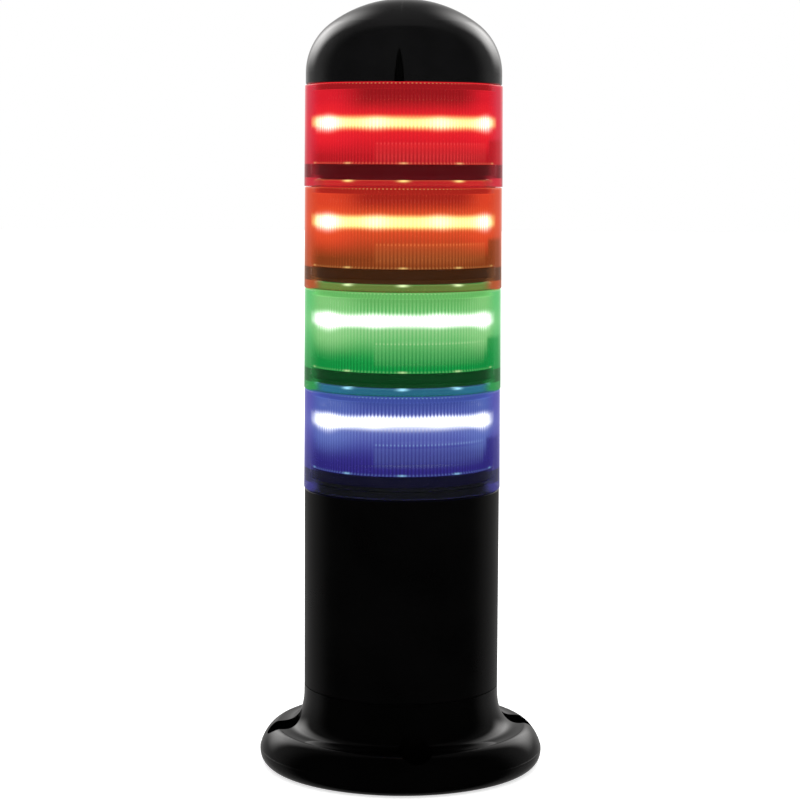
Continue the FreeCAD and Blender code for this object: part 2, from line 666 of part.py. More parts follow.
# ------------------------------------------------------------ light modules
def module(prefix, index):
    seam = P.column_height + P.module_pitch * index
    top = P.module_pitch
    # lens: skirt, ribbed wall, shelf and the collar for the next module
    lens = new_body(prefix + "_lens_body")
    turned(lens, "lens_wall", [
        (P.skirt_inner, P.seam_gap),
        (P.lens_radius_low - 0.2, P.seam_gap),
        (P.lens_radius_low, P.seam_gap + 0.2),
        (P.lens_radius_high, top - P.seam_gap - 0.25),
        (P.lens_radius_high - 0.25, top - P.seam_gap),
        (P.collar_outer, top - P.seam_gap),
        (P.collar_outer, top + P.collar_top - 0.3),
        (P.collar_outer - 0.3, top + P.collar_top),
        (P.lip_inner, top + P.collar_top),
        (P.lip_inner, top + P.lip_bottom),
        (P.collar_inner, top + P.lip_bottom),
        (P.collar_inner, top - P.seam_gap - P.shelf_thickness),
        (P.lens_inner, top - P.seam_gap - P.shelf_thickness),
        (P.lens_inner, P.skirt_height),
        (P.skirt_inner, P.skirt_height),
    ])
    boxes_on(lens, "entry_slot", top + P.lip_bottom, top + P.collar_top, P.slot_half,
             P.collar_inner - 0.05, P.lip_inner - 1.0, [0.0], cut=True)
    boxes_on(lens, "stop", top + P.lug_low, top + P.lip_bottom, size(1.0), P.collar_inner + 0.4,
             P.lip_inner + 0.2, [-(P.lock_turn.value + P.stop_turn.value), P.stop_turn.value])
    keep(lens, prefix + "_lens", seam)

    # black disc with the bayonet plug
    disc = new_body(prefix + "_disc_body")
    turned(disc, "disc", [
        (P.disc_hole, P.disc_under),
        (P.plug_inner, P.disc_under),
        (P.plug_inner, P.plug_bottom),
        (P.plug_outer, P.plug_bottom),
        (P.plug_outer, P.flange_low),
        (P.seal_inner, P.flange_low),
        (P.seal_inner, P.seal_top),
        (P.seal_outer, P.seal_top),
        (P.seal_outer, P.flange_low),
        (P.flange_radius, P.flange_low),
        (P.flange_radius, P.skirt_height),
        (P.disc_radius, P.skirt_height),
        (P.disc_radius, P.disc_top - 0.4),
        (P.disc_radius - 0.4, P.disc_top),
        (P.disc_hole, P.disc_top),
    ])
    boxes_on(disc, "lug", P.lug_low, P.lug_high, P.lug_half, P.lug_reach, P.plug_outer - 1.0,
             [-P.lock_turn.value])
    keep(disc, prefix + "_module_base", seam)
    seal_ring(prefix, prefix + "_seal", seam)

    # lamp tower
    tower = new_body(prefix + "_tower_body")
    turned(tower, "foot_plate", [(P.disc_hole, P.disc_top), (P.tower_foot, P.disc_top),
                                 (P.tower_foot, P.disc_top + 1.6), (P.disc_hole, P.disc_top + 1.6)])
    wall = new_sketch(tower, "tower_outline", "XY_Plane", P.disc_top + 1.6)
    hx_, hy_ = P.tower_half_x, P.tower_half_y
    polygon(wall, [(-hx_, -hy_), (hx_, -hy_), (hx_, hy_), (-hx_, hy_)])
    ix, iy = hx_ - P.tower_wall, hy_ - P.tower_wall
    polygon(wall, [(-ix, -iy), (ix, -iy), (ix, iy), (-ix, iy)])
    wpad = tower.newObject("PartDesign::Pad", "tower_walls")
    wpad.Profile = wall
    tall = P.tower_top - P.disc_top - 1.6
    wpad.Length = tall.value
    bind(wpad, "Length", tall)
    volume_now(tower)
    # the foot plate is round, so short feet carry the walls' far ends
    feet = new_sketch(tower, "tower_feet_outline", "XY_Plane", P.disc_top)
    polygon(feet, [(-hx_, -hy_), (hx_, -hy_), (hx_, hy_), (-hx_, hy_)])
    polygon(feet, [(-ix, -iy), (ix, -iy), (ix, iy), (-ix, iy)])
    fpad = tower.newObject("PartDesign::Pad", "tower_feet")
    fpad.Profile = feet
    fpad.Length = 1.6
    volume_now(tower)
    # round shelf that backs the contact plate
    shelf = new_sketch(tower, "tower_shelf_outline", "XY_Plane", P.tower_top - 1.4)
    circle(shelf, 0.0, 0.0, P.plate_radius)
    circle(shelf, 0.0, 0.0, 4.0)
    spad = tower.newObject("PartDesign::Pad", "tower_shelf")
    spad.Profile = shelf
    spad.Length = 1.4
    volume_now(tower)
    keep(tower, prefix + "_led_carrier", seam)

    # lamp board wrapped round the tower
    board = new_body(prefix + "_board_body")
    bs = new_sketch(board, "board_outline", "XY_Plane", P.board_low)
    ox, oy = hx_ + P.board_thickness, hy_ + P.board_thickness
    polygon(bs, [(-ox, -oy), (ox, -oy), (ox, oy), (-ox, oy)])
    polygon(bs, [(-hx_, -hy_), (hx_, -hy_), (hx_, hy_), (-hx_, hy_)])
    bpad = board.newObject("PartDesign::Pad", "board_wrap")
    bpad.Profile = bs
    bpad.Length = (P.board_high - P.board_low).value
    bind(bpad, "Length", P.board_high - P.board_low)
    volume_now(board)
    keep(board, prefix + "_led_board", seam)

    # twelve LED packages
    leds = []
    z0 = P.lamp_height - P.led_height / 2
    z1 = P.lamp_height + P.led_height / 2
    half = P.led_width / 2
    for k, x in enumerate((-24.8, -11.2, 11.2, 24.8)):
        leds.append(part_box("%s_led_front_%d" % (prefix, k + 1), size(x) - half, size(x) + half,
                             -oy - P.led_depth, -oy, z0, z1))
        leds.append(part_box("%s_led_back_%d" % (prefix, k + 1), size(x) - half, size(x) + half,
                             oy, oy + P.led_depth, z0, z1))
    for k, y in enumerate((-4.6, 4.6)):
        leds.append(part_box("%s_led_left_%d" % (prefix, k + 1), -ox - P.led_depth, -ox,
                             size(y) - half, size(y) + half, z0, z1))
        leds.append(part_box("%s_led_right_%d" % (prefix, k + 1), ox, ox + P.led_depth,
                             size(y) - half, size(y) + half, z0, z1))
    keep(part_group(prefix + "_led_set", leds), prefix + "_leds", seam)

    # frosted sleeve that stands on the foot plate, round the lamps
    bar = new_body(prefix + "_sleeve_body")
    ds = new_sketch(bar, "sleeve_outline", "XY_Plane", P.sleeve_low)
    u, v, t = P.sleeve_half_x, P.sleeve_half_y, P.sleeve_wall
    for (a, b) in ((u, v), (u - t, v - t)):
        polygon(ds, [(-a, -b), (a, -b), (a, b), (-a, b)])
    dpad = bar.newObject("PartDesign::Pad", "sleeve_walls")
    dpad.Profile = ds
    rise = P.sleeve_high - P.sleeve_low
    dpad.Length = rise.value
    bind(dpad, "Length", rise)
    volume_now(bar)
    last = dpad
    for label, a, radius in (("sleeve_corners", u, P.sleeve_corner),
                             ("sleeve_inner_corners", u - t, P.sleeve_corner - t)):
        names = []
        for i, edge in enumerate(last.Shape.Edges):
            ends = [w.Point for w in edge.Vertexes]
            if len(ends) == 2 and abs(ends[0].z - ends[1].z) > rise.value - 0.01 and \
                    abs(abs(ends[0].x) - a.value) < 0.001 and \
                    abs(ends[0].x - ends[1].x) < 0.001 and abs(ends[0].y - ends[1].y) < 0.001:
                names.append("Edge%d" % (i + 1))
        round_off = bar.newObject("PartDesign::Fillet", label)
        round_off.Base = (last, names)
        round_off.Radius = radius.value
        bind(round_off, "Radius", radius)
        volume_now(bar)
        last = round_off
    keep(bar, prefix + "_diffuser", seam)

    contact_disc(prefix, prefix + "_contact_plate", seam + P.module_pitch)
    contact_tracks(prefix, prefix + "_contact_rings", seam + P.module_pitch)

    # pin holder and pins under the disc
    holder = new_body(prefix + "_holder_body")
    hs = new_sketch(holder, "holder_outline", "XY_Plane", P.block_low)
    polygon(hs, [(-24.6, -4.0), (-7.0, -4.0), (-7.0, 4.0), (-24.6, 4.0)])
    hpad = holder.newObject("PartDesign::Pad", "holder")
    hpad.Profile = hs
    hpad.Length = (P.disc_under - P.block_low).value
    bind(hpad, "Length", P.disc_under - P.block_low)
    volume_now(holder)
    keep(holder, prefix + "_contact_block", seam)
    pins = []
    tip = -P.plate_drop + P.plate_thickness + P.ring_height + P.pin_gap
    for k in range(4):
        pins.append(part_cylinder("%s_pin_%d" % (prefix, k + 1), P.pin_radius, tip, P.block_low,
                                  -(P.ring_first + P.ring_step * k), 0.0))
    keep(part_group(prefix + "_pin_set", pins), prefix + "_contact_pins", seam)


for i, colour in enumerate(("blue", "green", "amber", "red")):
    module(colour, i)

# ---------------------------------------------------------------- the cap
cap_seam = P.column_height + P.module_pitch * 4
dome = new_body("dome_body")
section = new_sketch(dome, "dome_section", "XZ_Plane")


def dome_points(offset):
    """Crown end, crown-to-corner joint and wall end of one dome curve."""
    r1, r2, rw = P.cap_crown - offset, P.cap_corner - offset, P.cap_radius - offset
    drop = P.cap_height - P.cap_crown
    gap = P.cap_crown - P.cap_corner
    side = P.cap_radius - P.cap_corner
    lift = (gap * gap - side * side).root()
    joint = (r1 * side / gap, drop + r1 * lift / gap)
    return r1, r2, rw, (size(0.0), drop + r1), joint, (rw, drop + lift)


def arc_between(start, end, radius):
    """Arc bulging up and outwards from start (outer, lower) to end (inner, upper)."""
    a = Vector(start[0].value, start[1].value, 0)
    b = Vector(end[0].value, end[1].value, 0)
    chord = b - a
    mid = (a + b) * 0.5
    h = math.sqrt(radius.value ** 2 - (chord.Length / 2) ** 2)
    normal = Vector(chord.y, -chord.x, 0)
    normal.normalize()
    centre = mid - normal * h
    if centre.x > mid.x:
        centre = mid + normal * h
    bulge = mid - centre
    bulge.normalize()
    return Part.Arc(a, centre + bulge * radius.value, b)


g = 0
r1, r2, rw, apex_out, joint_out, wall_out = dome_points(size(0.0))
q1, q2, qw, apex_in, joint_in, wall_in = dome_points(P.cap_wall)
corners = [
    (P.cap_skirt_inner, P.seam_gap),
    (P.cap_radius - 0.3, P.seam_gap),
    (P.cap_radius, P.seam_gap + 0.3),
    wall_out,
]
geo = []
for i in range(3):
    a, b = corners[i], corners[i + 1]
    geo.append(("line", a, b, None))
geo.append(("arc", wall_out, joint_out, r2))
geo.append(("arc", joint_out, apex_out, r1))
geo.append(("line", apex_out, apex_in, None))
geo.append(("arc_back", apex_in, joint_in, q1))
geo.append(("arc_back", joint_in, wall_in, q2))
geo.append(("line", wall_in, (qw, P.skirt_height), None))
geo.append(("line", (qw, P.skirt_height), (P.cap_skirt_inner, P.skirt_height), None))
geo.append(("line", (P.cap_skirt_inner, P.skirt_height), (P.cap_skirt_inner, P.seam_gap), None))
starts, ends = [], []
for kind, a, b, rad in geo:
    a = (size(a[0]), size(a[1]))
    b = (size(b[0]), size(b[1]))
    if kind == "line":
        index = section.addGeometry(Part.LineSegment(Vector(a[0].value, a[1].value, 0),
                                                     Vector(b[0].value, b[1].value, 0)), False)
        starts.append((index, 1, a))
        ends.append((index, 2))
    else:
        low, high = (a, b) if kind == "arc" else (b, a)
        index = section.addGeometry(arc_between(low, high, rad), False)
        made = section.Geometry[index]
        near = made.StartPoint.distanceToPoint(Vector(a[0].value, a[1].value, 0)) < 1e-4
        starts.append((index, 1 if near else 2, a))
        ends.append((index, 2 if near else 1))
        i = section.addConstraint(Sketcher.Constraint("Radius", index, rad.value))
        bind(section, "Constraints[%d]" % i, rad)
for k in range(len(geo)):
    n = (k + 1) % len(geo)
    section.addConstraint(Sketcher.Constraint("Coincident", ends[k][0], ends[k][1],
                                              starts[n][0], starts[n][1]))
for index, pos, point in starts:
    pin_point(section, index, pos, *point)
shell_rev = dome.newObject("PartDesign::Revolution", "dome_shell")
shell_rev.Profile = section
shell_rev.ReferenceAxis = (section, ["V_Axis"])
shell_rev.Angle = 360.0
volume_now(dome)
# screw bosses hang inside the dome
cb = new_sketch(dome, "cap_boss_outline", "XY_Plane", P.cap_disc_top)
cbx, cby = polar(P.cap_boss_circle, 0.0)
circle(cb, cbx, cby, P.cap_boss_radius)
circle(cb, cbx, cby, P.pilot_radius)
cpad = dome.newObject("PartDesign::Pad", "cap_boss")
cpad.Profile = cb
cpad.Length = (P.cap_boss_top - P.cap_disc_top).value
bind(cpad, "Length", P.cap_boss_top - P.cap_disc_top)
volume_now(dome)
cround = dome.newObject("PartDesign::PolarPattern", "cap_boss_round")
cround.Originals = [cpad]
for f in dome.Origin.OriginFeatures:
    if f.Role == "Z_Axis":
        cround.Axis = (f, [""])
cround.Angle = 360.0
cround.Occurrences = 3
dome.Tip = cround
volume_now(dome)
# alignment flute: a round-bottomed upright groove that runs out on the dome
fl = new_sketch(dome, "flute_outline", "XY_Plane", size(-1.0))
fb = math.radians(P.flute_turn.value)
reach = P.flute_reach + P.flute_radius
circle(fl, reach * math.sin(fb), reach * (-math.cos(fb)), P.flute_radius)
flute = dome.newObject("PartDesign::Pocket", "flute")
flute.Profile = fl
flute.Length = 20.0
before = dome.Shape.Volume
flute.Reversed = True
if not volume_now(dome) < before - 5:
    flute.Reversed = False
    if not volume_now(dome) < before - 5:
        raise RuntimeError("flute cuts nothing")
keep(dome, "cap_dome", cap_seam)

ring = new_body("cap_ring_body")
turned(ring, "cap_ring", [
    (P.cap_disc_hole, P.flange_low),
    (P.plug_inner, P.flange_low),
    (P.plug_inner, P.plug_bottom),
    (P.plug_outer, P.plug_bottom),
    (P.plug_outer, P.flange_low),
    (P.seal_inner, P.flange_low),
    (P.seal_inner, P.seal_top),
    (P.seal_outer, P.seal_top),
    (P.seal_outer, P.flange_low),
    (P.cap_skirt_inner - 0.1, P.flange_low),
    (P.cap_skirt_inner - 0.1, P.skirt_height),
    (P.cap_disc_radius, P.skirt_height),
    (P.cap_disc_radius, P.cap_disc_top),
    (P.cap_disc_hole, P.cap_disc_top),
])
boxes_on(ring, "lug", P.lug_low, P.lug_high, P.lug_half, P.lug_reach, P.plug_outer - 1.0,
         [-P.lock_turn.value])
rh = new_sketch(ring, "cap_hole_outline", "XY_Plane", P.flange_low)
circle(rh, cbx, cby, 1.6)
rhole = ring.newObject("PartDesign::Pocket", "cap_hole")
rhole.Profile = rh
rhole.Length = 4.0
before = ring.Shape.Volume
rhole.Reversed = True
if not volume_now(ring) < before - 5:
    rhole.Reversed = False
    if not volume_now(ring) < before - 5:
        raise RuntimeError("cap ring holes cut nothing")
rround = ring.newObject("PartDesign::PolarPattern", "cap_hole_round")
rround.Originals = [rhole]
for f in ring.Origin.OriginFeatures:
    if f.Role == "Z_Axis":
        rround.Axis = (f, [""])
rround.Angle = 360.0
rround.Occurrences = 3
ring.Tip = rround
volume_now(ring)
keep(ring, "cap_lock_ring", cap_seam)
seal_ring("cap", "cap_seal", cap_seam)
pan_screws("cap_screw", "cap_screws", cap_seam, P.cap_boss_circle, (0.0, 120.0, 240.0), False,
           P.flange_low, 13.0)

# ------------------------------------------------------------------ export
doc.recompute()
bad = []
for obj in doc.Objects:
    state = [s for s in obj.State if s in ("Invalid", "Error")]
    if state:
        bad.append("%s %s" % (obj.Name, state))
for obj in SUBPARTS:
    shape = obj.Shape
    if shape.isNull() or not shape.isValid() or not shape.Solids:
        bad.append("%s has a bad shape" % obj.Label)
if bad:
    raise RuntimeError("; ".join(bad))
labels = [obj.Label for obj in SUBPARTS]
if len(set(labels)) != len(labels) or len(labels) > 60:
    raise RuntimeError("sub-part names clash or are too many")
os.makedirs("parts", exist_ok=True)
for obj in SUBPARTS:
    obj.Shape.exportStep(os.path.join("parts", obj.Label + ".step"))
    box = obj.Shape.BoundBox
    print("%-24s solids %2d  volume %9.1f  z %7.2f..%7.2f  r<=%.2f" % (
        obj.Label, len(obj.Shape.Solids), obj.Shape.Volume, box.ZMin, box.ZMax,
        max(abs(box.XMin), box.XMax, abs(box.YMin), box.YMax)))
print(len(labels), "sub-parts")
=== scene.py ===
import json
import math

import bpy
from mathutils import Matrix, Vector


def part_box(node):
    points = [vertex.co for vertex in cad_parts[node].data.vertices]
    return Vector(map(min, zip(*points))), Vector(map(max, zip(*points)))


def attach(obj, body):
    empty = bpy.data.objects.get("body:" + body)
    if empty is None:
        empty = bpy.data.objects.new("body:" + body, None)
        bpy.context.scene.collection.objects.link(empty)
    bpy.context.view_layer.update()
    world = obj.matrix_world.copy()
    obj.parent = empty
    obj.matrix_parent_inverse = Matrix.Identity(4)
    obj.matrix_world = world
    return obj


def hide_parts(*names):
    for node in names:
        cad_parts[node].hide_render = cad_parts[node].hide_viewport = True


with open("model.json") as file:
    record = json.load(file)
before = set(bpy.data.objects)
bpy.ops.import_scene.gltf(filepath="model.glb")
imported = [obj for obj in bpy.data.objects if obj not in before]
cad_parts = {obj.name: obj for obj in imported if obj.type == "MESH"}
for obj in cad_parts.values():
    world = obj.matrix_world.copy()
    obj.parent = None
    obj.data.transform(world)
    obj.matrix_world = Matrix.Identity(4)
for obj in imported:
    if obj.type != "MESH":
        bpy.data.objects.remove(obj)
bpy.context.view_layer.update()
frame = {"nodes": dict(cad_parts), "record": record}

NODES = frame["nodes"]
scene = bpy.context.scene
MM = 0.001


# --------------------------------------------------------------------------
# sizes, in millimetres, read from the frame where the frame has them
# --------------------------------------------------------------------------
COLOURS = ("blue", "green", "amber", "red")
SEAM = {}
for _c in COLOURS:
    SEAM[_c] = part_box(_c + "_lens")[0].z / MM - 0.15
PITCH = SEAM["green"] - SEAM["blue"]
RIBS = 156                       # fine ribs round the inside of each lens
CAP_Z = SEAM["red"] + PITCH      # the cap's lower edge
VIEW = math.radians(-7.0)        # where the key side of the studio stands


def srgb(r, g, b):
    out = []
    for c in (r, g, b):
        c = c / 255.0
        out.append(c / 12.92 if c <= 0.04045 else ((c + 0.055) / 1.055) ** 2.4)
    return tuple(out)


def grey(v):
    return srgb(v, v, v)


# --------------------------------------------------------------------------
# a short way to write node trees
# --------------------------------------------------------------------------
class Net:
    def __init__(self, tree):
        self.t = tree
        self.t.nodes.clear()
        self.col = 0

    def node(self, kind, **props):
        n = self.t.nodes.new(kind)
        n.location = (self.col % 12 * 180, -(self.col // 12) * 260)
        self.col += 1
        for k, v in props.items():
            setattr(n, k, v)
        return n

    def put(self, socket, value):
        if isinstance(value, bpy.types.NodeSocket):
            self.t.links.new(value, socket)
        elif isinstance(value, (int, float)):
            if socket.type in ("RGBA",):
                socket.default_value = (value, value, value, 1.0)
            elif socket.type == "VECTOR":
                socket.default_value = (value, value, value)
            else:
                socket.default_value = value
        else:
            v = tuple(value)
            if socket.type == "RGBA" and len(v) == 3:
                v = v + (1.0,)
            socket.default_value = v
        return socket

    def m(self, op, a, b=None, c=None, clamp=False):
        n = self.node("ShaderNodeMath", operation=op, use_clamp=clamp)
        self.put(n.inputs[0], a)
        if b is not None:
            self.put(n.inputs[1], b)
        if c is not None:
            self.put(n.inputs[2], c)
        return n.outputs[0]

    def add(self, a, b):
        return self.m("ADD", a, b)

    def sub(self, a, b):
        return self.m("SUBTRACT", a, b)

    def mul(self, a, b):
        return self.m("MULTIPLY", a, b)

    def step(self, x, lo, hi, out_lo=0.0, out_hi=1.0):
        n = self.node("ShaderNodeMapRange", interpolation_type="SMOOTHSTEP", clamp=True)
        self.put(n.inputs["Value"], x)
        self.put(n.inputs["From Min"], lo)
        self.put(n.inputs["From Max"], hi)
        self.put(n.inputs["To Min"], out_lo)
        self.put(n.inputs["To Max"], out_hi)
        return n.outputs["Result"]

    def line(self, x, lo, hi, out_lo=0.0, out_hi=1.0):
        n = self.node("ShaderNodeMapRange", interpolation_type="LINEAR", clamp=True)
        self.put(n.inputs["Value"], x)
        self.put(n.inputs["From Min"], lo)
        self.put(n.inputs["From Max"], hi)
        self.put(n.inputs["To Min"], out_lo)
        self.put(n.inputs["To Max"], out_hi)
        return n.outputs["Result"]

    def bell(self, x, centre, width, power=2.0):
        """exp(-|x - centre| / width) ** power"""
        d = self.m("ABSOLUTE", self.sub(x, centre))
        d = self.m("DIVIDE", d, width)
        d = self.m("POWER", d, power)
        return self.m("EXPONENT", self.mul(d, -1.0))

    def mix(self, fac, a, b, how="MIX"):
        n = self.node("ShaderNodeMix", data_type="RGBA", blend_type=how,
                      clamp_factor=True, clamp_result=False)
        self.put(n.inputs[0], fac)
        self.put(n.inputs[6], a)
        self.put(n.inputs[7], b)
        return n.outputs[2]

    def ramp(self, x, stops, how="LINEAR"):
        """stops: (position 0..1, linear colour)"""
        n = self.node("ShaderNodeValToRGB")
        n.color_ramp.interpolation = how
        e = n.color_ramp.elements
        while len(e) < len(stops):
            e.new(0.5)
        for k, (p, c) in enumerate(stops):
            e[k].position = p
            e[k].color = tuple(c) + (1.0,)
        self.put(n.inputs[0], x)
        return n.outputs[0]

    def coords(self):
        """object coordinates in millimetres: (vector, x, y, z)"""
        tc = self.node("ShaderNodeTexCoord")
        v = self.node("ShaderNodeVectorMath", operation="SCALE")
        self.t.links.new(tc.outputs["Object"], v.inputs[0])
        v.inputs["Scale"].default_value = 1000.0
        s = self.node("ShaderNodeSeparateXYZ")
        self.t.links.new(v.outputs[0], s.inputs[0])
        return v.outputs[0], s.outputs[0], s.outputs[1], s.outputs[2]

    def noise(self, vec, scale, detail=3.0, rough=0.5):
        n = self.node("ShaderNodeTexNoise")
        self.t.links.new(vec, n.inputs["Vector"])
        n.inputs["Scale"].default_value = scale
        n.inputs["Detail"].default_value = detail
        n.inputs["Roughness"].default_value = rough
        return n.outputs["Fac"]

    def bump(self, height, strength, distance):
        n = self.node("ShaderNodeBump")
        self.put(n.inputs["Height"], height)
        n.inputs["Strength"].default_value = strength
        n.inputs["Distance"].default_value = distance
        return n.outputs["Normal"]


def material(name):
    mat = bpy.data.materials.new(name)
    mat.use_nodes = True
    return mat, Net(mat.node_tree)


def principled(net, **values):
    p = net.node("ShaderNodeBsdfPrincipled")
    for k, v in values.items():
        net.put(p.inputs[k.replace("_", " ")], v)
    out = net.node("ShaderNodeOutputMaterial")
    net.t.links.new(p.outputs[0], out.inputs["Surface"])
    return p


# --------------------------------------------------------------------------
# moulded plastics, rubber, metal and boards
# --------------------------------------------------------------------------
def plastic(name, colour, rough, level=0.5, peel=0.0, grain=0.0, scuff=0.25, coat=0.0, vary=0.25):
    """Moulded plastic: slow colour drift, uneven gloss, and faint orange peel or spark-eroded grain."""
    mat, n = material(name)
    v, x, y, z = n.coords()
    slow = n.noise(v, 0.035, 3.0, 0.55)
    fine = n.noise(v, 1.6, 2.0, 0.6)
    lo = tuple(c * (1.0 - vary) for c in colour)
    hi = tuple(c * (1.0 + vary) for c in colour)
    col = n.mix(n.step(slow, 0.3, 0.7), lo, hi)
    r = n.add(rough, n.mul(n.sub(slow, 0.5), rough * scuff * 2.0))
    r = n.add(r, n.mul(n.sub(fine, 0.5), rough * scuff))
    p = principled(n, Base_Color=col, Roughness=r)
    p.inputs["Specular IOR Level"].default_value = level
    p.inputs["IOR"].default_value = 1.5
    if coat:
        p.inputs["Coat Weight"].default_value = coat
        p.inputs["Coat Roughness"].default_value = 0.06
    height = None
    if peel:
        height = n.mul(n.noise(v, 0.28, 2.0, 0.4), peel)
    if grain:
        g = n.mul(n.noise(v, 5.5, 3.0, 0.65), grain)
        height = g if height is None else n.add(height, g)
    if height is not None:
        net_normal = n.bump(height, 0.5, MM)
        n.put(p.inputs["Normal"], net_normal)
    return mat


def dome(name, colour):
    """The cap's plastic, with painted shade: the narrow pointed flute at its front is painted blacker where
    shade falls in the groove.
    """
    mat = plastic(name, colour, 0.13, 0.5, peel=0.008, coat=0.25)
    n = Net.__new__(Net)
    n.t, n.col = mat.node_tree, 60
    p = [k for k in n.t.nodes if k.type == "BSDF_PRINCIPLED"][0]
    was = p.inputs["Base Color"].links[0].from_socket
    v, x, y, z = n.coords()
    a = n.add(n.m("ARCTAN2", x, n.mul(y, -1.0)), math.radians(9.7))
    off = n.m("ABSOLUTE", n.mul(a, 34.3))
    t = n.m("DIVIDE", n.sub(z, CAP_Z), 11.5)
    half = n.mul(n.m("POWER", n.m("MAXIMUM", n.sub(1.0, t), 0.0001), 0.55), 1.75)
    gap = n.sub(off, half)
    # painted shade: the base colour inside the flute is darkened to stand in for the shade in the groove
    inside = n.mul(n.step(gap, 0.25, -0.25), n.step(t, 1.0, 0.97))
    n.put(p.inputs["Base Color"], n.mix(inside, was, (0.0008, 0.0008, 0.0008)))
    n.put(p.inputs["Normal"], n.bump(n.mul(n.step(gap, 0.3, -0.9), -0.35), 0.6, MM))
    return mat


def metal(name, colour, rough):
    mat, n = material(name)
    v, x, y, z = n.coords()
    a = n.noise(v, 3.0, 4.0, 0.6)
    b = n.noise(v, 0.3, 2.0, 0.5)
    col = n.mix(n.step(b, 0.25, 0.75), tuple(c * 0.82 for c in colour), colour)
    r = n.add(rough, n.mul(n.sub(a, 0.5), 0.22))
    p = principled(n, Base_Color=col, Metallic=1.0, Roughness=r)
    n.put(p.inputs["Normal"], n.bump(n.mul(a, 0.012), 0.4, MM))
    return mat


def board(name, colour, trace):
    """Solder mask over copper tracks, with the weave of the laminate."""
    mat, n = material(name)
    v, x, y, z = n.coords()
    wx = n.m("SINE", n.mul(x, 5.2))
    wz = n.m("SINE", n.mul(n.add(z, y), 5.2))
    weave = n.mul(wx, wz)
    cell = n.node("ShaderNodeTexVoronoi", feature="DISTANCE_TO_EDGE")
    n.t.links.new(v, cell.inputs["Vector"])
    cell.inputs["Scale"].default_value = 0.22
    lines = n.step(cell.outputs["Distance"], 0.02, 0.05, 1.0, 0.0)
    col = n.mix(n.mul(lines, 0.45), colour, trace)
    col = n.mix(n.step(weave, -1.0, 1.0, 0.0, 0.12), col, tuple(c * 0.6 for c in colour))
    p = principled(n, Base_Color=col, Roughness=n.step(lines, 0.0, 1.0, 0.42, 0.3))
    n.put(p.inputs["Normal"], n.bump(n.add(n.mul(weave, 0.01), n.mul(lines, 0.03)), 0.5, MM))
    return mat


MAT = {
    "gloss_black": plastic("moulded_gloss_black", (0.0006, 0.0006, 0.0006), 0.10, 0.23,
                           peel=0.010),
    "dome_black": dome("moulded_dome_black", (0.0042, 0.0042, 0.0044)),
    "satin_black": plastic("moulded_satin_black", (0.0010, 0.0009, 0.0009), 0.30, 0.16,
                           grain=0.006, peel=0.006),
    "matte_black": plastic("moulded_matte_black", (0.0045, 0.0045, 0.0042), 0.5, 0.3, grain=0.02),
    "black_rubber": plastic("foam_rubber_black", (0.010, 0.010, 0.010), 0.85, 0.3, grain=0.05),
    "grey_plastic": plastic("moulded_grey", (0.18, 0.18, 0.18), 0.5, 0.4, grain=0.015, vary=0.08),
    "white_plastic": plastic("moulded_white", (0.62, 0.62, 0.60), 0.42, 0.4, grain=0.01, vary=0.05),
    "board_green": board("board_green", srgb(18, 78, 44), srgb(60, 120, 62)),
    "board_white": board("board_white", srgb(222, 222, 214), srgb(190, 188, 170)),
    "steel": metal("zinc_plated_steel", (0.58, 0.58, 0.57), 0.32),
    "brass": metal("bright_brass", srgb(205, 165, 92), 0.28),
}


